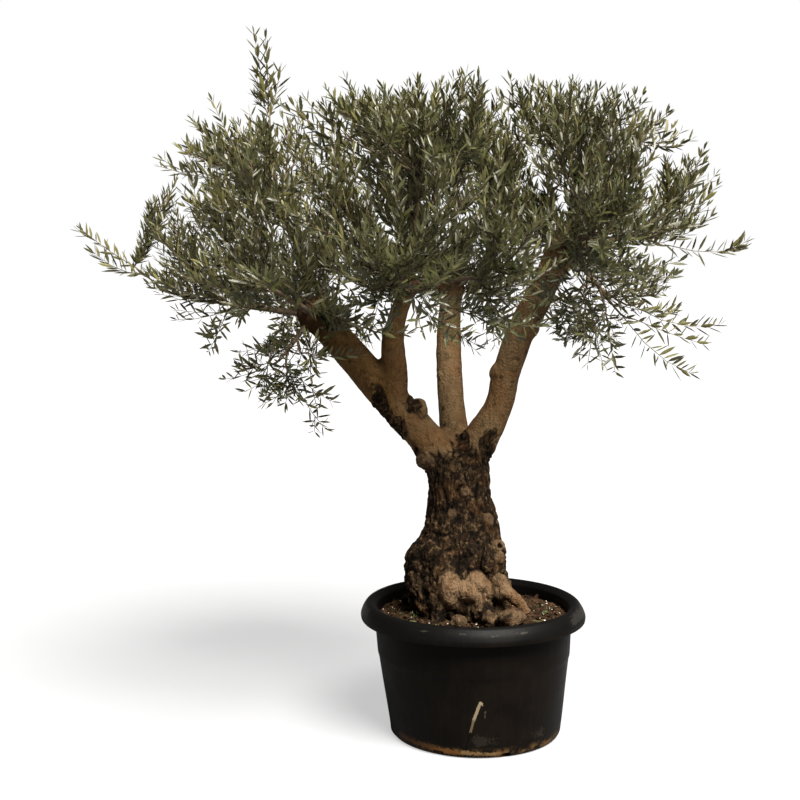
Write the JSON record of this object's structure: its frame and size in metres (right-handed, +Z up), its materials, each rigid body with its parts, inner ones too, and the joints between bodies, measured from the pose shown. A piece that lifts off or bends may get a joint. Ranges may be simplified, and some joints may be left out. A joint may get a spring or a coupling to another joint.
{
  "type": "potted olive tree",
  "caption": "Old gnarled olive tree with a forked trunk, pollarded boughs and a wide flat-topped crown of narrow leaves, in a round plastic nursery pot of soil.",
  "frame": {"origin": "centre of the pot's flat underside", "axes": "+Z up along the pot's axis, -Y towards the front of the tree, +X to the right of the front view"},
  "size_m": [2.1915, 1.6802, 2.3113],
  "materials": {
    "pot": "matt black moulded plastic, scuffed and dusty, with pale mineral marks round the foot",
    "soil": "dark moist potting soil with bark chips",
    "trunk_bark": "dark, deeply fissured old bark with smooth paler burls",
    "bough_bark": "smoother grey-tan bark",
    "foliage": "narrow leaves, dull grey-green above and silvery beneath, on brown twigs"
  },
  "bodies": {
    "root": {"pot": "pot", "soil": "soil", "trunk": "trunk_bark", "left_bough": "bough_bark", "centre_bough": "bough_bark", "right_bough": "bough_bark", "upright_bough": "bough_bark", "foliage_left_outer": "foliage", "foliage_left_top": "foliage", "foliage_left_front": "foliage", "foliage_left_back": "foliage", "foliage_left_low": "foliage", "foliage_front_top": "foliage", "foliage_front_outer": "foliage", "foliage_front_side": "foliage", "foliage_back_top": "foliage", "foliage_back_outer": "foliage", "foliage_back_side": "foliage", "foliage_right_outer": "foliage", "foliage_right_top": "foliage", "foliage_right_front": "foliage", "foliage_right_back": "foliage", "foliage_right_inner": "foliage", "foliage_right_low": "foliage"}
  },
  "joints": []
}
